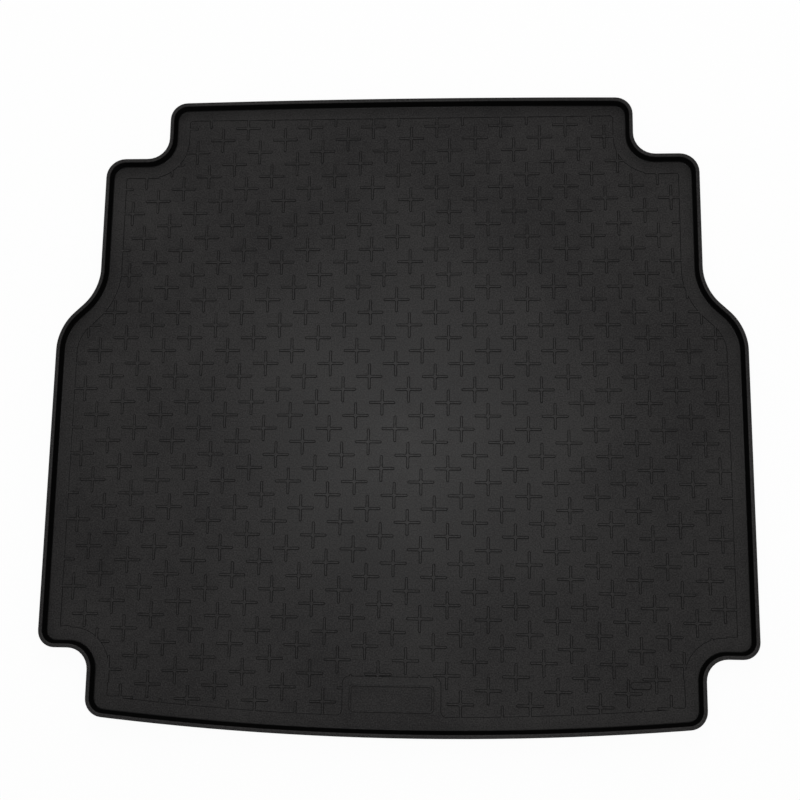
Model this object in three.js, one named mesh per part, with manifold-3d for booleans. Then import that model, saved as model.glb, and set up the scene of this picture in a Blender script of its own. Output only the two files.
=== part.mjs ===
// Boot liner: a one-piece moulded rubber tray for the floor of a car's boot.
// +X runs across the car, +Y towards the seats, +Z up. The origin is on the floor, under the middle.

import * as THREE from "three";
import { mergeGeometries, mergeVertices, toCreasedNormals } from "three/addons/utils/BufferGeometryUtils.js";
import Module from "manifold-3d";

const wasm = await Module();
wasm.setup();

// Plan of the outer edge, in millimetres. The tray is widest behind the wheel arches, narrower
// between them, and steps in again at the far end and at the sill.
const overallDepth = 969;
const wideWidth = 1050.6;
const archWidth = 924;
const farWidth = 726;
const sillWidth = 897.3;
const farTabLength = 95;
const sillTabLength = 118.2;
const flareStart = 308;
const flareRun = 60.1;
const farBow = 3.2;
const sillBow = 22.5;

// Corner radii of the outer edge, walking from the sill up one side to the far end.
const sillCornerRadius = 27;
const sillTabRadius = 31;
const wideCornerRadius = 25;
const flareOuterRadius = 83;
const flareInnerRadius = 80;
const archCornerRadius = 30;
const farTabRadius = 33.5;
const farCornerRadius = 27;

// Section of the base and its lip. The width is at the lip's foot, and a draft is how far in a face leans.
const baseThickness = 3;
const lipRise = 11;
const lipWidth = 9.8;
const outerDraft = 1;
const innerDraft = 4.3;
const crestRound = 1.1;
const footRound = 0.9;

// Recessed field inside a plain margin.
const marginWidth = 19;
const fieldDepth = 1;

// Cross ribs on a square lattice, which is turned so that one step is this far across and along.
const crossSpan = 40;
const crossRoot = 4.4;
const latticeAcross = 40;
const latticeAlong = 20;
const latticeFromSill = 47.25;

// Bare pad at the middle of the sill, level with the margin, with a raised frame on it.
const padWidth = 143.5;
const padLength = 56;
const padCornerRadius = 10;
const padFlare = 9;
const frameLength = 40.5;
const frameSideGap = 9.5;
const frameFarGap = 10.5;
const frameRidge = 3.5;
const frameRise = 0.6;
const frameCornerRadius = 7;

// Small plain pill by the right end of the sill.
const pillLength = 29;
const pillWidth = 10;
const pillFromSide = 90.6;
const pillFromSill = 78.5;

// Fineness of round stretches: the gap allowed between an arc and its chords, and steps in a bow.
const chordGap = 0.3;
const bowSteps = 8;

const farY = overallDepth / 2;
const sillY = -overallDepth / 2;
const fieldSillY = sillY + lipWidth + marginWidth;
const fieldFloor = baseThickness - fieldDepth;
const lipTop = baseThickness + lipRise;

const rubber = new THREE.MeshStandardMaterial({ color: 0x2b2a2b, roughness: 0.72, metalness: 0 });

// One corner of a closed outline, with the radius that rounds it.
function corner(x, y, radius = 0) {
  return { point: new THREE.Vector2(x, y), radius };
}

// Corners between the ends of an edge that bows out by the given amount, from one side to the other.
function bowedEdge(halfWidth, crownY, bow) {
  const corners = [];
  for (let step = 1; step < bowSteps; step += 1) {
    const share = 1 - (2 * step) / bowSteps;
    corners.push(corner(halfWidth * share, crownY - bow * share ** 2));
  }
  return corners;
}

// The right side of the outer edge, from the sill to the far end.
function rightSide() {
  const tabY = sillY + sillTabLength;
  const flareY = farY - flareStart;
  const shoulderY = farY - farTabLength;
  return [
    corner(sillWidth / 2, sillY + sillBow, sillCornerRadius),
    corner(sillWidth / 2, tabY, sillTabRadius),
    corner(wideWidth / 2, tabY, wideCornerRadius),
    corner(wideWidth / 2, flareY - flareRun, flareOuterRadius),
    corner(archWidth / 2, flareY, flareInnerRadius),
    corner(archWidth / 2, shoulderY, archCornerRadius),
    corner(farWidth / 2, shoulderY, farTabRadius),
    corner(farWidth / 2, farY - farBow, farCornerRadius),
  ];
}

// The whole outer edge, anticlockwise seen from above.
function outerEdge() {
  const right = rightSide();
  const left = right.map(({ point, radius }) => corner(-point.x, point.y, radius)).reverse();
  return [
    ...right,
    ...bowedEdge(farWidth / 2, farY, farBow),
    ...left,
    ...bowedEdge(-sillWidth / 2, sillY, -sillBow),
  ];
}

// Unit vector pointing to the left of the run from a to b.
function leftOf(a, b) {
  return new THREE.Vector2(a.y - b.y, b.x - a.x).normalize();
}

// The two runs that meet at a corner: their left normals, the turn between them and the shorter length.
function meeting(loop, index) {
  const { point } = loop[index];
  const before = loop[(index + loop.length - 1) % loop.length].point;
  const after = loop[(index + 1) % loop.length].point;
  const normalIn = leftOf(before, point);
  const normalOut = leftOf(point, after);
  const turn = Math.atan2(normalIn.cross(normalOut), normalIn.dot(normalOut));
  const mitre = normalIn.clone().add(normalOut).divideScalar(1 + normalIn.dot(normalOut));
  const shortest = Math.min(before.distanceTo(point), point.distanceTo(after));
  return { normalIn, turn, mitre, shortest };
}

// The outline moved inwards: outward corners tighten and inward corners open.
function inset(loop, distance) {
  return loop.map(({ point, radius }, index) => {
    const { turn, mitre } = meeting(loop, index);
    const moved = mitre.multiplyScalar(distance).add(point);
    const rounded = Math.max(radius - distance * Math.sign(turn), 1);
    return corner(moved.x, moved.y, radius > 0 ? rounded : 0);
  });
}

// Largest radius up to the wanted one that leaves each run half of its length.
function fittedRadius(loop, index) {
  const { turn, shortest } = meeting(loop, index);
  return Math.min(loop[index].radius, (0.49 * shortest) / Math.tan(Math.abs(turn) / 2));
}

// Steps that round each corner of an outline within the chord gap.
function cornerSteps(loop) {
  return loop.map((_, index) => {
    const radius = fittedRadius(loop, index);
    if (radius === 0) return 0;
    const stepAngle = 2 * Math.acos(1 - Math.min(chordGap / radius, 1));
    return Math.max(2, Math.round(Math.abs(meeting(loop, index).turn) / stepAngle));
  });
}

// Points of an outline with its corners rounded in the given steps.
function outlinePoints(loop, steps = cornerSteps(loop)) {
  return loop.flatMap(({ point }, index) => {
    if (steps[index] === 0) return [point.clone()];
    const { normalIn, turn, mitre } = meeting(loop, index);
    const signedRadius = fittedRadius(loop, index) * Math.sign(turn);
    const centre = mitre.multiplyScalar(signedRadius).add(point);
    const arm = normalIn.multiplyScalar(-signedRadius);
    return Array.from({ length: steps[index] + 1 }, (_, step) =>
      arm.clone().add(centre).rotateAround(centre, (turn * step) / steps[index]),
    );
  });
}

function rectangle(x0, y0, x1, y1, radius) {
  return [corner(x0, y0, radius), corner(x1, y0, radius), corner(x1, y1, radius), corner(x0, y1, radius)];
}

function indexedGeometry(positions, indices) {
  const geometry = new THREE.BufferGeometry();
  geometry.setAttribute("position", new THREE.Float32BufferAttribute(positions, 3));
  geometry.setIndex(indices);
  return geometry;
}

// A closed geometry through level sections with equal counts of points, from the lowest up.
function loft(sections) {
  const count = sections[0].points.length;
  const top = (sections.length - 1) * count;
  const positions = sections.flatMap(({ points, z }) => points.flatMap(({ x, y }) => [x, y, z]));
  const indices = [];
  for (let level = 0; level < top; level += count) {
    for (let index = 0; index < count; index += 1) {
      const a = level + index;
      const b = level + ((index + 1) % count);
      indices.push(a, b, b + count, a, b + count, a + count);
    }
  }
  const bottomFaces = THREE.ShapeUtils.triangulateShape(sections[0].points, []);
  const topFaces = THREE.ShapeUtils.triangulateShape(sections.at(-1).points, []);
  bottomFaces.forEach(([a, b, c]) => indices.push(a, c, b));
  topFaces.forEach(([a, b, c]) => indices.push(top + a, top + b, top + c));
  return indexedGeometry(positions, indices);
}

// An upright prism of an outline between two heights.
function prism(loop, z0, z1) {
  const points = outlinePoints(loop);
  return loft([
    { points, z: z0 },
    { points, z: z1 },
  ]);
}

// A geometry as a solid that can be joined and cut.
function toSolid(geometry) {
  const bare = geometry.clone();
  bare.deleteAttribute("normal");
  bare.deleteAttribute("uv");
  const merged = mergeVertices(bare);
  const vertProperties = new Float32Array(merged.attributes.position.array);
  const triVerts = new Uint32Array(merged.index.array);
  return new wasm.Manifold(new wasm.Mesh({ numProp: 3, vertProperties, triVerts }));
}

// A solid as a geometry whose sharp edges stay sharp in shading.
function toGeometry(solid) {
  const { vertProperties, triVerts } = solid.getMesh();
  return toCreasedNormals(indexedGeometry(Array.from(vertProperties), Array.from(triVerts)), Math.PI / 7);
}

// The base and the lip that stands round it, before the field is recessed.
function trayBlank(edge) {
  const crestInner = lipWidth - innerDraft;
  const profile = [
    [outerDraft + crestRound, 0],
    [outerDraft, crestRound],
    [0, lipTop - crestRound],
    [crestRound, lipTop],
    [crestInner - crestRound, lipTop],
    [crestInner, lipTop - crestRound],
    [lipWidth, baseThickness + footRound],
    [lipWidth + footRound, baseThickness],
  ];
  const steps = cornerSteps(edge);
  return loft(profile.map(([distance, z]) => ({ points: outlinePoints(inset(edge, distance), steps), z })));
}

// One cross rib about its centre: four arms that taper from the root, peaked at the margin's level.
function crossRib() {
  const sink = 0.05;
  const tip = (crossSpan / 2) * (1 + sink);
  const root = (crossRoot / 2) * (1 + sink);
  const origin = new THREE.Vector2();
  const outline = [0, 1, 2, 3].flatMap((quarter) =>
    [new THREE.Vector2(tip, 0), new THREE.Vector2(root, root)].map((point) =>
      point.rotateAround(origin, (quarter * Math.PI) / 2),
    ),
  );
  const peak = outline.length;
  const positions = outline.flatMap(({ x, y }) => [x, y, fieldFloor - fieldDepth * sink]);
  positions.push(0, 0, baseThickness);
  const indices = outline.flatMap((_, index) => [index, (index + 1) % peak, peak]);
  THREE.ShapeUtils.triangulateShape(outline, []).forEach(([a, b, c]) => indices.push(a, c, b));
  return indexedGeometry(positions, indices);
}

// Centres of all the cross ribs that can reach the field.
function crossCentres() {
  const reachX = (wideWidth + crossSpan) / 2;
  const reachY = (overallDepth + crossSpan) / 2;
  const count = Math.ceil(Math.hypot(reachX, reachY) / Math.hypot(latticeAcross, latticeAlong)) + 10;
  const centres = [];
  for (let m = -count; m <= count; m += 1) {
    for (let n = -count; n <= count; n += 1) {
      const x = m * latticeAcross + n * latticeAlong;
      const y = sillY + latticeFromSill + m * latticeAlong - n * latticeAcross;
      if (Math.abs(x) < reachX && Math.abs(y) < reachY) centres.push([x, y]);
    }
  }
  return centres;
}

function crossRibs() {
  const rib = crossRib();
  return mergeGeometries(crossCentres().map(([x, y]) => rib.clone().translate(x, y, 0)));
}

// The pad at the sill, which flares where it grows out of the margin.
function sillPad() {
  const half = padWidth / 2;
  const wide = half + 2 * padFlare;
  const padY = fieldSillY + padLength;
  const loop = [
    corner(-wide, fieldSillY - padFlare),
    corner(wide, fieldSillY - padFlare),
    corner(wide, fieldSillY),
    corner(half, fieldSillY, padFlare),
    corner(half, padY, padCornerRadius),
    corner(-half, padY, padCornerRadius),
    corner(-half, fieldSillY, padFlare),
    corner(-wide, fieldSillY),
  ];
  return toSolid(prism(loop, 0, lipTop));
}

// The raised frame that stands on the pad.
function padFrame() {
  const half = padWidth / 2 - frameSideGap;
  const frameY = fieldSillY + padLength - frameFarGap;
  const outer = rectangle(-half, frameY - frameLength, half, frameY, frameCornerRadius);
  const ridge = toSolid(prism(outer, fieldFloor, baseThickness + frameRise));
  return ridge.subtract(toSolid(prism(inset(outer, frameRidge), 0, lipTop)));
}

function pill() {
  const x = sillWidth / 2 - pillFromSide;
  const y = sillY + pillFromSill;
  const half = new THREE.Vector2(pillLength / 2, pillWidth / 2);
  return toSolid(prism(rectangle(x - half.x, y - half.y, x + half.x, y + half.y, half.y), 0, lipTop));
}

// What is taken out of the base to leave the field, around all that stands in it.
function fieldPocket(edge) {
  const pocket = toSolid(prism(inset(edge, lipWidth + marginWidth), fieldFloor, lipTop));
  return pocket.subtract(toSolid(crossRibs())).subtract(sillPad()).subtract(pill());
}

function bootLiner() {
  const edge = outerEdge();
  const tray = toSolid(trayBlank(edge)).subtract(fieldPocket(edge)).add(padFrame());
  const mesh = new THREE.Mesh(toGeometry(tray), rubber);
  mesh.name = "boot_liner";
  return mesh;
}

const group = new THREE.Group();
group.add(bootLiner());

export default group;
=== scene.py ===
"""The looks of a moulded rubber boot liner.

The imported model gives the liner's size and place. What shows is modelled here as one moulding: the
tray with its rolled lip, the recessed field with its cross ribs, the pad and frame at the sill, and
the small pill beside them. Lengths are in metres, +Y is towards the seats and +Z is up.
"""

import logging
import math
from dataclasses import dataclass
from enum import Enum
from typing import Callable, Iterable, NamedTuple, Optional, Sequence, Union

import bmesh
import bpy
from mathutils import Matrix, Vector


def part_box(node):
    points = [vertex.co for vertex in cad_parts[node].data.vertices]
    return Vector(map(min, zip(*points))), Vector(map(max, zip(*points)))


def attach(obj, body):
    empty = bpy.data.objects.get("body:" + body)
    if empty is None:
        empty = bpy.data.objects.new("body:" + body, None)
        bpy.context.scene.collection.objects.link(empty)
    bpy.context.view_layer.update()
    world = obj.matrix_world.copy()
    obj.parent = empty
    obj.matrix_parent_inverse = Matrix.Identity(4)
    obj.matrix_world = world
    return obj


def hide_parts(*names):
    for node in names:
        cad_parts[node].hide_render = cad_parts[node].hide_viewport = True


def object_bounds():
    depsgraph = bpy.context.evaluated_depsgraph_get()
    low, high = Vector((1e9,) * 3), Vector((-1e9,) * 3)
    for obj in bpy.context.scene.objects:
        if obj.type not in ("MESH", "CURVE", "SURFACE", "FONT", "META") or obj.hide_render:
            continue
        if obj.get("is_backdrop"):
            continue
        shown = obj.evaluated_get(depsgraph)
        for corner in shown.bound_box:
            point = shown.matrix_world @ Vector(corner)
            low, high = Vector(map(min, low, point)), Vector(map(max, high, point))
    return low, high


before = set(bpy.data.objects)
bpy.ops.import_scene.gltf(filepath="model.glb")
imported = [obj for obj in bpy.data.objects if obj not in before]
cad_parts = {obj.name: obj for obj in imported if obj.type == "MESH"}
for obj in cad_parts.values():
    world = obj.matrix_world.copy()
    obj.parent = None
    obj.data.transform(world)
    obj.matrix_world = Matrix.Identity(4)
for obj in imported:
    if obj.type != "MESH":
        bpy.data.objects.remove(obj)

LOG = logging.getLogger("boot_liner")
CAD_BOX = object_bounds()
NODE = "boot_liner"
BODY = "root"
MM = 0.001
# Places nearer than this count as one, and normals at least this upright count as level.
TOUCH = MM / 100
LEVEL = 0.999
# A Mix node's sockets for colours: its two inputs and its output.
COLOUR_A, COLOUR_B, MIXED_COLOUR = 6, 7, 2

Face = bmesh.types.BMFace
Place = tuple[float, float, float]
Colour = tuple[float, float, float, float]
WHITE: Colour = (1, 1, 1, 1)


class Corner(NamedTuple):
    """One corner of a closed outline, and the radius that rounds it."""

    x: float
    y: float
    radius: float = 0.0
    steps: int = 8


class Step(NamedTuple):
    """One step of a moulded section: how far inwards, and how far along the face's own normal."""

    inward: float
    along: float


class Curl(Enum):
    """Which way a rounded stretch of a section turns."""

    STEEP_TO_FLAT = "steep to flat"
    FLAT_TO_STEEP = "flat to steep"


class Carve(Enum):
    """How a tool solid changes the workpiece."""

    CUT = "DIFFERENCE"
    FUSE = "UNION"


def curl(radius: float, count: int, way: Curl, sign: int = 1) -> list[Step]:
    """Gives the steps of a quarter round in a section.

    Args:
        radius: Radius of the quarter round.
        count: How many steps it takes.
        way: Whether it starts steep or flat.
        sign: 1 to go along the face's normal, -1 to go against it.

    Returns:
        The steps, from the first to the last.
    """
    angles = [math.pi / 2 * index / count for index in range(count + 1)]
    slow = [radius * (1 - math.cos(angle)) for angle in angles]
    fast = [radius * math.sin(angle) for angle in angles]
    inward, along = (slow, fast) if way is Curl.STEEP_TO_FLAT else (fast, slow)
    return [
        Step(inward[index + 1] - inward[index], sign * (along[index + 1] - along[index]))
        for index in range(count)
    ]


def rectangle(low: Vector, high: Vector, radius: float, steps: int) -> list[Corner]:
    """Gives a rounded rectangle's corners, anticlockwise.

    Args:
        low: The corner with the lowest x and y.
        high: The corner with the highest x and y.
        radius: Radius of all four corners.
        steps: Steps in each rounded corner.

    Returns:
        The four corners.
    """
    spots = [(low.x, low.y), (high.x, low.y), (high.x, high.y), (low.x, high.y)]
    return [Corner(x, y, radius, steps) for x, y in spots]


def inset(outline: Sequence[Corner], reach: float) -> list[Corner]:
    """Moves an outline inwards, so that outward corners tighten and inward corners open.

    Args:
        outline: Corners of the outline, anticlockwise.
        reach: How far every edge moves, negative to move outwards.

    Returns:
        The corners of the moved outline.
    """
    spots = [Vector((corner.x, corner.y)) for corner in outline]
    moved = []
    for index, corner in enumerate(outline):
        before = (spots[index] - spots[index - 1]).normalized().orthogonal()
        after = (spots[(index + 1) % len(spots)] - spots[index]).normalized().orthogonal()
        spot = spots[index] + (before + after) * (reach / (1 + before.dot(after)))
        turned = before.cross(after)
        radius = corner.radius - reach * math.copysign(1, turned)
        moved.append(Corner(spot.x, spot.y, radius if corner.radius else 0.0, corner.steps))
    return moved


class Workpiece:
    """A mesh that is drawn as an outline and raised into a solid with Blender's own operators."""

    def __init__(self, name: str, outline: Sequence[Corner], height: float) -> None:
        """Draws the outline as one face.

        Args:
            name: Name of the new object.
            outline: Corners of the outline, anticlockwise seen from above.
            height: Height of the face above the floor.
        """
        bpy.ops.object.select_all(action="DESELECT")
        bpy.ops.mesh.primitive_plane_add(size=MM)
        self.obj = bpy.context.active_object
        self.obj.name = name
        self.obj.data.name = name
        bpy.ops.object.mode_set(mode="EDIT")
        self._trace(outline, height)
        self._round(outline)
        self._face_up()

    def _trace(self, outline: Sequence[Corner], height: float) -> None:
        """Extrudes one vertex from corner to corner and fills the loop.

        Args:
            outline: Corners of the outline.
            height: Height of the face.
        """
        bpy.ops.mesh.select_mode(type="VERT")
        bpy.ops.mesh.select_all(action="SELECT")
        bpy.ops.mesh.merge(type="CENTER")
        bpy.ops.transform.translate(value=(outline[0].x, outline[0].y, height))
        for last, corner in zip(outline, outline[1:]):
            run = (corner.x - last.x, corner.y - last.y, 0)
            bpy.ops.mesh.extrude_vertices_move(TRANSFORM_OT_translate={"value": run})
        ends = [Vector((corner.x, corner.y, height)) for corner in (outline[0], outline[-1])]
        self.pick_vertices(lambda spot: min((spot - end).length for end in ends) < TOUCH)
        bpy.ops.mesh.edge_face_add()
        bpy.ops.mesh.select_all(action="SELECT")
        bpy.ops.mesh.edge_face_add()

    def _round(self, outline: Sequence[Corner]) -> None:
        """Rounds each corner of the face that has a radius.

        The profile is the one whose curve passes through the middle of the true arc.

        Args:
            outline: Corners of the outline.
        """
        spots = [Vector((corner.x, corner.y)) for corner in outline]
        for index, corner in enumerate(outline):
            if not corner.radius:
                continue
            before = (spots[index] - spots[index - 1]).normalized()
            after = (spots[(index + 1) % len(spots)] - spots[index]).normalized()
            half_turn = before.angle(after) / 2
            self.pick_vertices(lambda spot: (spot.xy - spots[index]).length < TOUCH)
            bpy.ops.mesh.bevel(
                affect="VERTICES",
                offset_type="OFFSET",
                offset=corner.radius * math.tan(half_turn),
                segments=corner.steps,
                profile=(1 - 0.5 / (1 + math.cos(half_turn))) ** 2,
                clamp_overlap=False,
            )

    def _face_up(self) -> None:
        """Turns the drawn face upwards and leaves it selected."""
        bpy.ops.mesh.select_mode(type="FACE")
        bpy.ops.mesh.select_all(action="SELECT")
        if bmesh.from_edit_mesh(self.obj.data).faces[:][0].normal.z < 0:
            bpy.ops.mesh.flip_normals()

    def pick_vertices(self, test: Callable[[Vector], bool]) -> None:
        """Selects the vertices whose place passes a test, and nothing else.

        Args:
            test: Says of a place whether it passes.
        """
        bpy.ops.mesh.select_mode(type="VERT")
        mesh = bmesh.from_edit_mesh(self.obj.data)
        for vertex in mesh.verts:
            vertex.select = test(vertex.co)
        mesh.select_flush_mode()
        bmesh.update_edit_mesh(self.obj.data)

    def pick_faces(self, choose: Callable[[Iterable[Face]], Iterable[Face]]) -> None:
        """Selects some of the faces, and nothing else.

        Args:
            choose: Picks them out of all the faces.
        """
        bpy.ops.mesh.select_mode(type="FACE")
        mesh = bmesh.from_edit_mesh(self.obj.data)
        chosen = set(choose(mesh.faces))
        for face in mesh.faces:
            face.select = face in chosen
        mesh.select_flush_mode()
        bmesh.update_edit_mesh(self.obj.data)

    def pick_cap(self, up: bool) -> None:
        """Selects the level face with the most corners.

        Args:
            up: True for the one that looks up, False for the one that looks down.
        """
        sign = 1 if up else -1

        def cap(faces: Iterable[Face]) -> list[Face]:
            level = [face for face in faces if face.normal.z * sign > LEVEL]
            return [max(level, key=lambda face: len(face.verts))]

        self.pick_faces(cap)

    def pick_level(self, height: float) -> None:
        """Selects every level face at a height, and nothing else.

        Args:
            height: Height of the faces.
        """

        def at_height(faces: Iterable[Face]) -> list[Face]:
            level = [face for face in faces if abs(face.normal.z) > LEVEL]
            return [face for face in level if abs(face.verts[0].co.z - height) < TOUCH]

        self.pick_faces(at_height)

    def tile(self, height: float, pitch: float) -> None:
        """Splits the level faces at a height into square tiles.

        Args:
            height: Height of the faces.
            pitch: Length of a tile's side.
        """
        spots = [vertex.co.copy() for vertex in bmesh.from_edit_mesh(self.obj.data).verts]
        for axis in (0, 1):
            normal = Vector((1 - axis, axis, 0))
            count = int(max(spot[axis] for spot in spots) / pitch)
            for index in range(-count, count + 1):
                self.pick_level(height)
                bpy.ops.mesh.bisect(plane_co=normal * (index * pitch), plane_no=normal)

    def thicken(self, rise: float) -> None:
        """Extrudes the drawn face straight up or down into a closed plate.

        Args:
            rise: How far it goes up, negative to go down.
        """
        bpy.ops.mesh.extrude_region_move(TRANSFORM_OT_translate={"value": (0, 0, rise)})
        bpy.ops.mesh.select_all(action="SELECT")
        bpy.ops.mesh.normals_make_consistent(inside=False)

    def mould(self, steps: Sequence[Step]) -> None:
        """Carries the selected face through the steps of a section.

        Args:
            steps: The section's steps, from the first to the last.
        """
        for step in steps:
            bpy.ops.mesh.inset(thickness=step.inward, depth=step.along, use_even_offset=True)

    def finish(self) -> bpy.types.Object:
        """Leaves edit mode with all faces looking outwards.

        Returns:
            The finished object.
        """
        bpy.ops.mesh.select_all(action="SELECT")
        bpy.ops.mesh.normals_make_consistent(inside=False)
        bpy.ops.object.mode_set(mode="OBJECT")
        return self.obj


def carve(target: bpy.types.Object, tool: bpy.types.Object, how: Carve) -> None:
    """Cuts a tool solid out of an object or fuses it on, and deletes the tool.

    Args:
        target: The object that changes.
        tool: The closed solid to cut or fuse.
        how: Cut or fuse.
    """
    bpy.ops.object.select_all(action="DESELECT")
    bpy.context.view_layer.objects.active = target
    modifier = target.modifiers.new("carve", "BOOLEAN")
    modifier.operation = how.value
    modifier.solver = "MANIFOLD"
    modifier.object = tool
    bpy.ops.object.modifier_apply(modifier=modifier.name)
    bpy.data.objects.remove(tool)


@dataclass
class TrayPlan:
    """The liner's outer edge seen from above. Places along the car are taken from the far edge."""

    wide_width: float
    depth: float
    arch_width: float = 924 * MM
    far_width: float = 726 * MM
    sill_width: float = 897.3 * MM
    far_tab: float = 95 * MM
    sill_tab: float = 118.2 * MM
    flare_start: float = 308 * MM
    flare_run: float = 60.1 * MM
    far_bow: float = 3.2 * MM
    sill_bow: float = 22.5 * MM
    sill_corner: float = 27 * MM
    sill_tab_corner: float = 31 * MM
    wide_corner: float = 25 * MM
    flare_outer: float = 83 * MM
    flare_inner: float = 80 * MM
    arch_corner: float = 30 * MM
    far_tab_corner: float = 33.5 * MM
    far_corner: float = 27 * MM
    bow_steps: int = 24
    flare_steps: int = 14

    @property
    def far_y(self) -> float:
        """Where the far edge crosses the middle."""
        return self.depth / 2

    @property
    def sill_y(self) -> float:
        """Where the sill edge crosses the middle."""
        return -self.depth / 2

    def bow(self, half_width: float, crown: float, bow: float) -> list[Corner]:
        """Gives the points between the ends of an edge that bows outwards.

        Args:
            half_width: Half the edge's length, negative to run from left to right.
            crown: Where the edge crosses the middle.
            bow: How far its ends lie towards -Y from the crown, negative for towards +Y.

        Returns:
            The points from one end to the other, without the ends.
        """
        shares = [1 - 2 * step / self.bow_steps for step in range(1, self.bow_steps)]
        return [Corner(half_width * share, crown - bow * share**2) for share in shares]

    def right_side(self) -> list[Corner]:
        """Gives the right side's corners.

        Returns:
            The corners from the sill to the far end.
        """
        tab_y = self.sill_y + self.sill_tab
        flare_y = self.far_y - self.flare_start
        shoulder_y = self.far_y - self.far_tab
        return [
            Corner(self.sill_width / 2, self.sill_y + self.sill_bow, self.sill_corner),
            Corner(self.sill_width / 2, tab_y, self.sill_tab_corner),
            Corner(self.wide_width / 2, tab_y, self.wide_corner),
            Corner(self.wide_width / 2, flare_y - self.flare_run, self.flare_outer, self.flare_steps),
            Corner(self.arch_width / 2, flare_y, self.flare_inner, self.flare_steps),
            Corner(self.arch_width / 2, shoulder_y, self.arch_corner),
            Corner(self.far_width / 2, shoulder_y, self.far_tab_corner),
            Corner(self.far_width / 2, self.far_y - self.far_bow, self.far_corner),
        ]

    def outline(self) -> list[Corner]:
        """Gives the whole outer edge.

        Returns:
            Its corners, anticlockwise seen from above.
        """
        right = self.right_side()
        left = [corner._replace(x=-corner.x) for corner in reversed(right)]
        far = self.bow(self.far_width / 2, self.far_y, self.far_bow)
        sill = self.bow(-self.sill_width / 2, self.sill_y, -self.sill_bow)
        return [*right, *far, *left, *sill]


def field_plan(tray: TrayPlan) -> TrayPlan:
    """Gives the plan of the recessed field inside the margin.

    Args:
        tray: Plan of the tray's outer edge.

    Returns:
        The field's plan, whose edges lie 28 to 30 mm inside the tray's.
    """
    return TrayPlan(
        wide_width=tray.wide_width - 2 * 29.1 * MM,
        depth=tray.depth - 2 * 28.3 * MM,
        arch_width=tray.arch_width - 2 * 29.5 * MM,
        far_width=tray.far_width - 2 * 29 * MM,
        sill_width=tray.sill_width - 2 * 28.9 * MM,
        far_tab=94.5 * MM,
        sill_tab=118.95 * MM,
        flare_start=292 * MM,
        flare_run=60.6 * MM,
        far_bow=0,
        sill_bow=20 * MM,
        sill_corner=4 * MM,
        sill_tab_corner=58 * MM,
        wide_corner=3 * MM,
        flare_outer=57 * MM,
        flare_inner=106 * MM,
        arch_corner=4 * MM,
        far_tab_corner=60 * MM,
        far_corner=5 * MM,
    )


@dataclass
class LipSection:
    """The section of the tray's base and of the lip that stands round it.

    The lip is drawn from an upright band at its widest height, a little below the crest. From there
    it goes up and over to the margin, and down and in to its heel.
    """

    top: float
    base: float = 3 * MM
    width: float = 9.8 * MM
    outer_draft: float = 1 * MM
    inner_draft: float = 4.3 * MM
    crest_round: float = 1.1 * MM
    foot_round: float = 0.9 * MM
    band: float = 0.4 * MM
    crest_steps: int = 4
    foot_steps: int = 3
    heel_steps: int = 3

    @property
    def widest(self) -> float:
        """Height at which the lip is widest."""
        return self.top - self.crest_round

    def over_the_crest(self) -> list[Step]:
        """Gives the steps up over the crest and down the inner wall to the margin."""
        crest = self.width - self.inner_draft - 2 * self.crest_round
        wall = self.widest - self.base - self.foot_round
        return [
            *curl(self.crest_round, self.crest_steps, Curl.STEEP_TO_FLAT),
            Step(crest, 0),
            *curl(self.crest_round, self.crest_steps, Curl.FLAT_TO_STEEP, -1),
            Step(self.inner_draft, -wall),
            *curl(self.foot_round, self.foot_steps, Curl.STEEP_TO_FLAT, -1),
        ]

    def down_the_outside(self) -> list[Step]:
        """Gives the steps down the outer wall and under its foot."""
        wall = self.widest - self.band - self.crest_round
        heel = curl(self.crest_round, self.heel_steps, Curl.STEEP_TO_FLAT)
        return [Step(self.outer_draft, wall), *heel]


@dataclass
class RibEdge:
    """The rounded edge that every rib, pad and margin shares, from the field up to the margin.

    Tools for cutting run on past the faces they cut: by `spill` along their own slope, by `overlap`
    below the field and by `clear` above the margin.
    """

    depth: float = 1 * MM
    root: float = 0.25 * MM
    draft: float = 0.7 * MM
    crown: float = 0.25 * MM
    spill: float = 0.12 * MM
    overlap: float = 0.5 * MM
    clear: float = 2 * MM
    crown_steps: int = 2

    @property
    def wall(self) -> float:
        """Height of the straight wall between the two rounded ends."""
        return self.depth - self.root - self.crown

    @property
    def half_spread(self) -> float:
        """Half of how far the edge runs sideways from foot to top."""
        return (self.root + self.draft + self.crown) / 2

    @property
    def foot_grow(self) -> float:
        """How far an island's drawn foot lies outside its outline at mid height."""
        return self.half_spread + self.spill

    def run_out(self) -> Step:
        """Gives the crown's flattest facet, run on through the margin's level."""
        flattest = curl(self.crown, self.crown_steps, Curl.STEEP_TO_FLAT)[-1]
        return Step(flattest.inward + self.spill, flattest.along * (1 + self.spill / flattest.inward))

    def rising(self) -> list[Step]:
        """Gives the steps of an island that rises from the field to the margin's level."""
        return [
            Step(self.root + self.spill, self.root + self.spill),
            Step(self.draft, self.wall),
            curl(self.crown, self.crown_steps, Curl.STEEP_TO_FLAT)[0],
            self.run_out(),
            Step(0, self.clear),
        ]

    def sinking(self) -> list[Step]:
        """Gives the steps of a basin that sinks from the margin's level to the field."""
        return [
            self.run_out(),
            curl(self.crown, self.crown_steps, Curl.FLAT_TO_STEEP)[-1],
            Step(self.draft, self.wall),
            Step(self.root, self.root),
        ]


@dataclass
class Island:
    """A solid with rounded edges that stands in the field, level with the margin."""

    edge: RibEdge
    field: float

    def make(self, name: str, outline: Sequence[Corner]) -> bpy.types.Object:
        """Raises an island from its foot.

        Args:
            name: Name of the new object.
            outline: Corners of its foot, a little below the field.

        Returns:
            The island as a closed solid that reaches below the field and above the margin.
        """
        piece = Workpiece(name, outline, self.field - self.edge.spill)
        piece.thicken(-self.edge.overlap)
        piece.pick_cap(up=True)
        piece.mould(self.edge.rising())
        return piece.finish()


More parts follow.
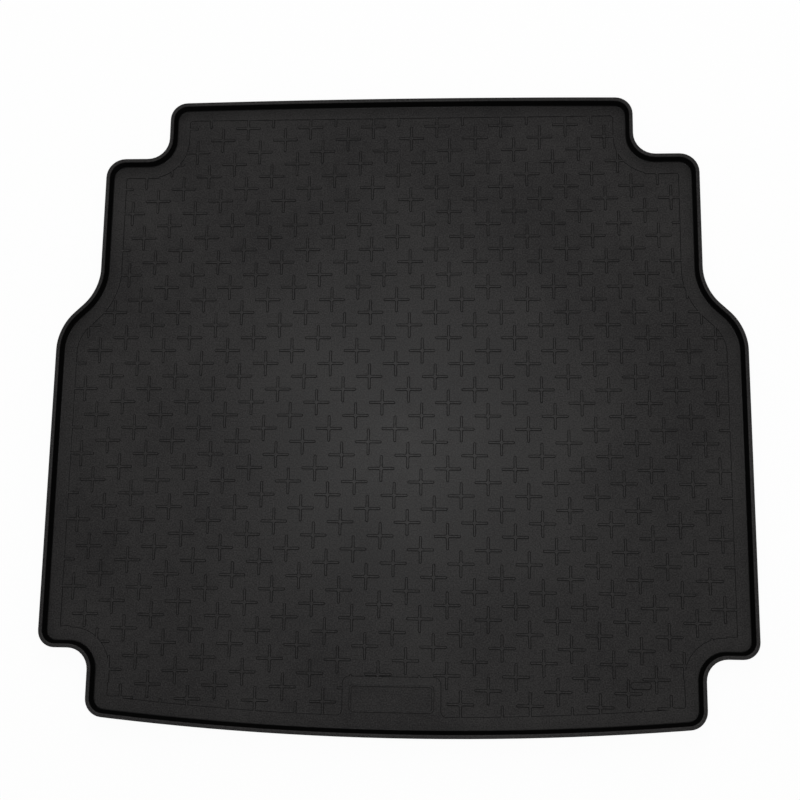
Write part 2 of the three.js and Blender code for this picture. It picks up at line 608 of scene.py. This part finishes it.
@dataclass
class CrossRibs:
    """The cross ribs of the field, which stand on a turned square lattice.

    Each next rib lies `across` to the right and `along` towards the seats of the last, or a quarter
    turn from that. The rib above the middle of the sill is `from_sill` away from the sill edge, and
    `middle_step` sets how far up from there the middle of the lattice lies.
    """

    island: Island
    span: float = 39 * MM
    width: float = 3.2 * MM
    tip_radius: float = 1.2 * MM
    fillet: float = 1.75 * MM
    across: float = 40 * MM
    along: float = 20 * MM
    from_sill: float = 47.25 * MM
    middle_step: int = 4
    count: int = 31
    tip_steps: int = 2
    fillet_steps: int = 1

    def outline(self) -> list[Corner]:
        """Gives the foot of one rib about its centre."""
        grow = self.island.edge.foot_grow
        reach = self.span / 2 + grow
        half = self.width / 2 + grow
        arm = [
            Corner(reach, -half, self.tip_radius + grow, self.tip_steps),
            Corner(reach, half, self.tip_radius + grow, self.tip_steps),
            Corner(half, half, self.fillet - grow, self.fillet_steps),
        ]
        corners = []
        for _ in range(4):
            corners += arm
            arm = [corner._replace(x=-corner.y, y=corner.x) for corner in arm]
        return corners

    def make(self, sill_y: float) -> bpy.types.Object:
        """Models one rib and repeats it over the lattice.

        Args:
            sill_y: Where the sill edge crosses the middle.

        Returns:
            All the ribs as one object.
        """
        ribs = self.island.make("cross_ribs", self.outline())
        rows = [Vector((self.across, self.along, 0)), Vector((self.along, -self.across, 0))]
        middle = rows[0] * self.middle_step - rows[1] * 2 * self.middle_step
        start = middle - (rows[0] + rows[1]) * ((self.count - 1) // 2)
        bpy.ops.object.mode_set(mode="EDIT")
        bpy.ops.mesh.select_all(action="SELECT")
        bpy.ops.transform.translate(value=(start.x, start.y + sill_y + self.from_sill, 0))
        bpy.ops.object.mode_set(mode="OBJECT")
        for offset in rows:
            modifier = ribs.modifiers.new("lattice", "ARRAY")
            modifier.count = self.count
            modifier.use_relative_offset = False
            modifier.use_constant_offset = True
            modifier.constant_offset_displace = offset
            bpy.ops.object.modifier_apply(modifier=modifier.name)
        return ribs


@dataclass
class SillPad:
    """The bare pad at the middle of the sill, and the raised frame on it."""

    island: Island
    width: float = 143.5 * MM
    length: float = 56 * MM
    corner_radius: float = 10 * MM
    flare: float = 9 * MM
    frame_length: float = 40.5 * MM
    side_gap: float = 9.5 * MM
    far_gap: float = 10.5 * MM
    ridge: float = 4.2 * MM
    rise: float = 0.6 * MM
    crown: float = 0.2 * MM
    lean: float = 0.9 * MM
    frame_radius: float = 7 * MM
    frame_steps: int = 6
    crown_steps: int = 3

    def make_pad(self, root_y: float) -> bpy.types.Object:
        """Models the pad, which flares where it grows out of the margin.

        Args:
            root_y: Where the field ends at the sill.

        Returns:
            The pad as a closed solid.
        """
        grow = self.island.edge.foot_grow
        half = self.width / 2 + grow
        wide = half + 2 * self.flare
        far = root_y + self.length + grow
        root = root_y + grow
        right = [
            Corner(wide, root - self.flare),
            Corner(wide, root),
            Corner(half, root, self.flare - grow),
            Corner(half, far, self.corner_radius + grow),
        ]
        left = [corner._replace(x=-corner.x) for corner in reversed(right)]
        return self.island.make("sill_pad", [*right, *left])

    def make_frame(self, root_y: float, pad_top: float) -> bpy.types.Object:
        """Models the frame, a rounded ridge on the pad.

        Args:
            root_y: Where the field ends at the sill.
            pad_top: Height of the pad's top.

        Returns:
            The frame as a closed solid whose middle lies inside the pad.
        """
        half = self.width / 2 - self.side_gap
        far = root_y + self.length - self.far_gap
        low = Vector((-half, far - self.frame_length))
        high = Vector((half, far))
        # The frame starts this far inside the pad, so that the two fuse.
        sink = self.rise / 4
        wall = self.rise + sink - self.crown
        outline = rectangle(low, high, self.frame_radius, self.frame_steps)
        piece = Workpiece("pad_frame", outline, pad_top - 2 * sink)
        piece.thicken(sink)
        piece.pick_cap(up=True)
        piece.mould(
            [
                Step(self.lean, wall),
                *curl(self.crown, self.crown_steps, Curl.STEEP_TO_FLAT),
                Step(self.ridge - 2 * (self.crown + self.lean), 0),
                *curl(self.crown, self.crown_steps, Curl.FLAT_TO_STEEP, -1),
                Step(self.lean, -wall),
            ]
        )
        return piece.finish()


@dataclass
class Pill:
    """The small plain pill by the right end of the sill."""

    island: Island
    length: float = 29 * MM
    width: float = 10 * MM
    from_side: float = 90.6 * MM
    from_sill: float = 78.5 * MM
    roundness: float = 0.98
    end_steps: int = 8

    def make(self, plan: TrayPlan) -> bpy.types.Object:
        """Models the pill at its place by the sill.

        Args:
            plan: The tray's plan.

        Returns:
            The pill as a closed solid.
        """
        grow = self.island.edge.foot_grow
        centre = Vector((plan.sill_width / 2 - self.from_side, plan.sill_y + self.from_sill))
        half = Vector((self.length / 2 + grow, self.width / 2 + grow))
        radius = half.y * self.roundness
        return self.island.make("pill", rectangle(centre - half, centre + half, radius, self.end_steps))


class BootLiner:
    """The whole liner as one moulding.

    Attributes:
        TILE_PITCH: Side of the tiles that the large level faces are split into before the cuts.
        WELD: Vertices nearer than this are merged after the cuts.
        SMOOTH_ANGLE: Edges that turn by fewer degrees than this are shaded smoothly.
        FLAT_WEIGHT: How far large faces lead over small ones in the shading, up to 100.
    """

    TILE_PITCH = 50 * MM
    WELD = 0.005 * MM
    SMOOTH_ANGLE = 50
    FLAT_WEIGHT = 100

    def __init__(self, low: Vector, high: Vector) -> None:
        """Sizes the liner from its node's box.

        Args:
            low: Lowest corner of the node.
            high: Highest corner of the node.
        """
        self.plan = TrayPlan(wide_width=high.x - low.x, depth=high.y - low.y)
        self.field = field_plan(self.plan)
        self.lip = LipSection(top=high.z)
        self.edge = RibEdge()
        self.island = Island(self.edge, self.lip.base - self.edge.depth)

    def make_tray(self) -> bpy.types.Object:
        """Models the base and lip with the field not yet recessed.

        Returns:
            The tray as a closed solid.
        """
        piece = Workpiece("liner", self.plan.outline(), self.lip.widest)
        piece.thicken(-self.lip.band)
        piece.pick_cap(up=True)
        piece.mould(self.lip.over_the_crest())
        piece.pick_cap(up=False)
        piece.mould(self.lip.down_the_outside())
        piece.tile(self.lip.base, self.TILE_PITCH)
        return piece.finish()

    def make_basin(self) -> bpy.types.Object:
        """Models the space that the recessed field takes out of the base.

        Returns:
            The basin as a closed solid.
        """
        brim = self.edge.run_out()
        rim = curl(self.edge.crown, self.edge.crown_steps, Curl.FLAT_TO_STEEP)[0]
        height = self.lip.base + brim.along - rim.along
        outline = inset(self.field.outline(), -self.edge.foot_grow)
        piece = Workpiece("field_basin", outline, height)
        piece.thicken(self.edge.clear / 2)
        piece.pick_cap(up=False)
        piece.mould(self.edge.sinking())
        piece.tile(self.island.field, self.TILE_PITCH)
        return piece.finish()

    def build(self) -> bpy.types.Object:
        """Models the whole liner.

        Returns:
            The finished object, which stands for the CAD node.
        """
        basin = self.make_basin()
        carve(basin, CrossRibs(self.island).make(self.plan.sill_y), Carve.CUT)
        pad = SillPad(self.island)
        carve(basin, pad.make_pad(self.field.sill_y), Carve.CUT)
        carve(basin, Pill(self.island).make(self.plan), Carve.CUT)
        tray = self.make_tray()
        carve(tray, basin, Carve.CUT)
        carve(tray, pad.make_frame(self.field.sill_y, self.lip.base), Carve.FUSE)
        self._smooth(tray)
        return tray

    def _smooth(self, tray: bpy.types.Object) -> None:
        """Merges what the cuts left doubled, and shades rounded edges smoothly and flat faces flat.

        Args:
            tray: The liner's object.
        """
        bpy.ops.object.select_all(action="DESELECT")
        tray.select_set(True)
        bpy.context.view_layer.objects.active = tray
        bpy.ops.object.mode_set(mode="EDIT")
        bpy.ops.mesh.select_all(action="SELECT")
        bpy.ops.mesh.remove_doubles(threshold=self.WELD)
        bpy.ops.mesh.dissolve_degenerate(threshold=self.WELD)
        bpy.ops.object.mode_set(mode="OBJECT")
        bpy.ops.object.shade_smooth_by_angle(angle=math.radians(self.SMOOTH_ANGLE))
        modifier = tray.modifiers.new("flat_faces_lead", "WEIGHTED_NORMAL")
        modifier.keep_sharp = True
        modifier.weight = self.FLAT_WEIGHT
        bpy.ops.object.modifier_apply(modifier=modifier.name)

    def dress(self, tray: bpy.types.Object) -> None:
        """Gives the liner its finish, ties it to its body and hides the CAD node's part.

        Args:
            tray: The liner's object.
        """
        tray.data.materials.clear()
        tray.data.materials.append(MouldedRubber().make())
        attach(tray, BODY)
        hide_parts(NODE)


Operand = Union["Socket", float]
Tint = Union["Socket", Colour]


class Socket:
    """A shader socket that Python arithmetic turns into Math nodes."""

    def __init__(self, shader: "Shader", link: Optional[bpy.types.NodeSocket]) -> None:
        """Wraps an output socket of a shader's node.

        Args:
            shader: The node tree it is in.
            link: The socket, or None for a node that has no output.
        """
        self.shader = shader
        self.link = link

    def __add__(self, other: Operand) -> "Socket":
        """Adds."""
        return self.shader.maths("ADD", self, other)

    def __sub__(self, other: Operand) -> "Socket":
        """Subtracts."""
        return self.shader.maths("SUBTRACT", self, other)

    def __rsub__(self, other: Operand) -> "Socket":
        """Subtracts this from a number."""
        return self.shader.maths("SUBTRACT", other, self)

    def __mul__(self, other: Operand) -> "Socket":
        """Multiplies."""
        return self.shader.maths("MULTIPLY", self, other)

    __radd__ = __add__
    __rmul__ = __mul__


class Shader:
    """A material's or world's node tree, with one method that adds any node."""

    def __init__(self, owner: Union[bpy.types.Material, bpy.types.World]) -> None:
        """Empties the owner's node tree.

        Args:
            owner: The material or world to build.
        """
        owner.use_nodes = True
        self.tree = owner.node_tree
        self.tree.nodes.clear()

    def node(
        self,
        kind: str,
        settings: Optional[dict] = None,
        inputs: Optional[dict] = None,
        output: Union[str, int] = 0,
    ) -> Socket:
        """Adds a node.

        Args:
            kind: The node's type, without the ShaderNode in front.
            settings: Its own properties.
            inputs: Values or sockets for its inputs, by name or number.
            output: Which output to give back.

        Returns:
            The chosen output.
        """
        made = self.tree.nodes.new("ShaderNode" + kind)
        for name, value in (settings or {}).items():
            setattr(made, name, value)
        for name, value in (inputs or {}).items():
            if isinstance(value, Socket):
                self.tree.links.new(value.link, made.inputs[name])
            else:
                made.inputs[name].default_value = value
        return Socket(self, made.outputs[output] if len(made.outputs) else None)

    def maths(self, operation: str, first: Operand, second: Operand) -> Socket:
        """Adds a Math node of two operands.

        Args:
            operation: The node's operation.
            first: Its first operand.
            second: Its second operand.

        Returns:
            The result.
        """
        return self.node("Math", {"operation": operation}, {0: first, 1: second})

    def colour_mix(self, share: Operand, first: Tint, second: Tint) -> Socket:
        """Mixes two colours.

        Args:
            share: How much of the second colour, from 0 to 1.
            first: The first colour.
            second: The second colour.

        Returns:
            The mixed colour.
        """
        inputs = {"Factor": share, COLOUR_A: first, COLOUR_B: second}
        return self.node("Mix", {"data_type": "RGBA"}, inputs, MIXED_COLOUR)

    def seen(self) -> Socket:
        """Gives 1 where the camera sees the surface, straight or through gloss or glass."""
        kinds = ("Camera", "Glossy", "Transmission")
        rays = [self.node("LightPath", output=f"Is {kind} Ray") for kind in kinds]
        return self.maths("MINIMUM", rays[0] + rays[1] + rays[2], 1.0)


@dataclass(frozen=True)
class Grain:
    """A noise over the piece's own coordinates, and how much of the colour it carries."""

    scale: float
    detail: float
    weight: float = 1.0


class Band(NamedTuple):
    """A band of heights in millimetres that fades in from its first mark and out to its last."""

    first: float
    full: float
    fading: float
    last: float


@dataclass(frozen=True)
class MouldedRubber:
    """Matt black rubber with a fine moulded grain and a slight bloom, and painted shade on its steep
    walls.

    The coordinates of the fine noises are stretched by `level_scale`, so that the field and the
    margin, 1 mm apart, cut like slices of them and look equally grainy.
    """

    dark: Colour = (0.0085, 0.0079, 0.0082, 1)
    pale: Colour = (0.0300, 0.0288, 0.0282, 1)
    # Near-black painted shade for the steep walls of the lip, ribs and frame, where little light falls.
    steep: Colour = (0.0006, 0.0006, 0.0006, 1)
    pale_share: float = 0.45
    bloom: Grain = Grain(5.5, 3, 1.0)
    mottle: Grain = Grain(70, 3, 0.5)
    speck: Grain = Grain(500, 1, 2.4)
    relief: Grain = Grain(1500, 2)
    relief_depth: float = 0.05 * MM
    relief_strength: float = 0.6
    level_scale: Place = (1, 1, 2)
    roughness: float = 0.45
    roughness_swing: float = 0.12
    steep_roughness: float = 0.30
    reflectivity: float = 0.08
    # Heights of the steep walls that take the painted shade and the steep roughness.
    lip_walls: Band = Band(3.65, 4.3, 12.2, 13.2)
    rib_walls: Band = Band(2.12, 2.17, 2.82, 2.90)
    frame_walls: Band = Band(3.005, 3.03, 3.52, 3.59)

    def make(self) -> bpy.types.Material:
        """Builds the material.

        Returns:
            The material.
        """
        material = bpy.data.materials.new("moulded_rubber")
        shader = Shader(material)
        place = shader.node("TexCoord", output="Object")
        bloom = self._noise(shader, place, self.bloom)
        mottle = self._noise(shader, place, self.mottle)
        even = shader.node("VectorMath", {"operation": "MULTIPLY"}, {0: place, 1: self.level_scale})
        speck = self._noise(shader, even, self.speck)
        share = self.pale_share + bloom * self.bloom.weight + mottle * self.mottle.weight
        share = share + speck * self.speck.weight
        level_colour = shader.colour_mix(share, self.dark, self.pale)
        # Share of the steep walls, which carry painted shade and their own roughness.
        steep = self._steep_share(shader, place)
        open_roughness = self.roughness + self.roughness_swing * mottle
        roughness = open_roughness + (self.steep_roughness - open_roughness) * steep
        bump = {
            "Strength": self.relief_strength,
            "Distance": self.relief_depth,
            "Height": self._noise(shader, even, self.relief),
        }
        surface = {
            # The steep walls take the near-black painted shade in place of the grain's colour.
            "Base Color": shader.colour_mix(steep, level_colour, self.steep),
            "Roughness": roughness,
            "Specular IOR Level": self.reflectivity,
            "Normal": shader.node("Bump", inputs=bump),
        }
        shader.node("OutputMaterial", inputs={"Surface": shader.node("BsdfPrincipled", inputs=surface)})
        return material

    def _steep_share(self, shader: Shader, place: Socket) -> Socket:
        """Finds the heights where only steep walls lie, which take painted shade in their colour.

        Args:
            shader: The material's node tree.
            place: The piece's own coordinates.

        Returns:
            1 at those heights and 0 elsewhere.
        """
        height = shader.node("SeparateXYZ", inputs={"Vector": place}, output="Z")
        share: Operand = 0.0
        for band in (self.lip_walls, self.rib_walls, self.frame_walls):
            rise = self._ramp(shader, height, band.first, band.full)
            fall = self._ramp(shader, height, band.last, band.fading)
            share = share + rise * fall
        return share

    def _ramp(self, shader: Shader, value: Socket, first: float, last: float) -> Socket:
        """Rises smoothly from 0 at the first mark to 1 at the last, both in millimetres."""
        inputs = {"Value": value, "From Min": first * MM, "From Max": last * MM}
        return shader.node("MapRange", {"interpolation_type": "SMOOTHSTEP"}, inputs)

    def _noise(self, shader: Shader, place: Socket, grain: Grain) -> Socket:
        """Adds an even noise about 0.

        Args:
            shader: The material's node tree.
            place: The coordinates it is laid over.
            grain: Its scale and detail.

        Returns:
            The noise, from -0.5 to 0.5.
        """
        inputs = {"Vector": place, "Scale": grain.scale, "Detail": grain.detail}
        return shader.node("TexNoise", inputs=inputs) - 0.5


@dataclass(frozen=True)
class PaleFloor:
    """A plain pale floor that shows white and keeps the liner's shadow, and is clear from below."""

    colour: Colour = (0.93, 0.93, 0.93, 1)
    glow_share: float = 0.95

    def make(self) -> bpy.types.Material:
        """Builds the material.

        Returns:
            The material.
        """
        material = bpy.data.materials.new("pale_floor")
        shader = Shader(material)
        matt = shader.node("BsdfDiffuse", inputs={"Color": self.colour})
        glow = shader.node("Emission", inputs={"Color": WHITE, "Strength": 1.0})
        share = shader.seen() * self.glow_share
        white = shader.node("MixShader", inputs={0: share, 1: matt, 2: glow})
        below = shader.node("NewGeometry", output="Backfacing")
        clear = shader.node("BsdfTransparent", inputs={"Color": WHITE})
        surface = shader.node("MixShader", inputs={0: below, 1: white, 2: clear})
        shader.node("OutputMaterial", inputs={"Surface": surface})
        return material


@dataclass(frozen=True)
class Lamp:
    """A square soft light that faces the middle of the liner.

    It may be left out of the matt light or out of the gloss on what it shines on.
    """

    name: str
    place: Place
    size: float
    energy: float
    lights_matt: bool = True
    lights_gloss: bool = True

    def hang(self) -> None:
        """Hangs the light in its place."""
        light = bpy.data.lights.new(self.name, "AREA")
        light.shape = "SQUARE"
        light.size = self.size
        light.energy = self.energy
        holder = bpy.data.objects.new(self.name, light)
        bpy.context.scene.collection.objects.link(holder)
        holder.location = self.place
        holder.rotation_euler = (-Vector(self.place)).to_track_quat("-Z", "Y").to_euler()
        holder.visible_diffuse = self.lights_matt
        holder.visible_glossy = self.lights_gloss


@dataclass
class Studio:
    """The floor, the lights and the camera round the liner."""

    floor_size: float = 12.0
    floor_gap: float = 0.2 * MM
    sky_strength: float = 0.68
    lens: float = 45.205
    sensor: float = 36.0
    camera_place: Place = (0.09679, -0.21969, 1.50262)
    camera_turn: Place = (8.6041, 3.3109, 0.7147)
    sheen: Lamp = Lamp("overhead", (-0.06, 0.12, 1.5), 0.5, 15, lights_matt=False)
    window: Lamp = Lamp("far_window", (0.3, 3.4, 1.3), 1.8, 60, lights_gloss=False)

    def lay_floor(self) -> None:
        """Lays the pale floor under the liner."""
        bpy.ops.object.select_all(action="DESELECT")
        bpy.ops.mesh.primitive_plane_add(size=self.floor_size, location=(0, 0, -self.floor_gap))
        bpy.ops.object.transform_apply(location=True)
        floor = bpy.context.active_object
        floor.name = "floor"
        floor.data.materials.append(PaleFloor().make())
        floor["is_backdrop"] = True

    def light_sky(self) -> None:
        """Lights the liner evenly from all round, against a white background."""
        world = bpy.data.worlds.new("studio")
        bpy.context.scene.world = world
        shader = Shader(world)
        strength = self.sky_strength + (1 - self.sky_strength) * shader.seen()
        sky = shader.node("Background", inputs={"Color": WHITE, "Strength": strength})
        shader.node("OutputWorld", inputs={"Surface": sky})

    def set_camera(self) -> None:
        """Sets the camera at the photograph's viewing angle."""
        data = bpy.data.cameras.new("camera")
        data.lens = self.lens
        data.sensor_width = self.sensor
        camera = bpy.data.objects.new("camera", data)
        bpy.context.scene.collection.objects.link(camera)
        camera.location = self.camera_place
        camera.rotation_euler = [math.radians(turn) for turn in self.camera_turn]
        bpy.context.scene.camera = camera

    def build(self) -> None:
        """Sets up the whole studio."""
        bpy.context.scene.view_settings.view_transform = "Standard"
        self.lay_floor()
        self.light_sky()
        self.sheen.hang()
        self.window.hang()
        self.set_camera()


def note_sizes() -> None:
    """Turns the CAD box and the shown object's box into plain lists, which nothing uses."""
    boxes = {"cad": CAD_BOX, "visual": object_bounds()}
    plain = {name: [list(corner) for corner in box] for name, box in boxes.items()}


def main() -> None:
    """Builds the studio and the liner, and reports each piece."""
    logging.basicConfig(level=logging.INFO, format="%(name)s: %(message)s")
    Studio().build()
    liner = BootLiner(*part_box(NODE))
    tray = liner.build()
    liner.dress(tray)
    tray.data.calc_loop_triangles()
    LOG.info("%s has %d triangles", tray.name, len(tray.data.loop_triangles))
    note_sizes()


if __name__ == "__main__":
    main()
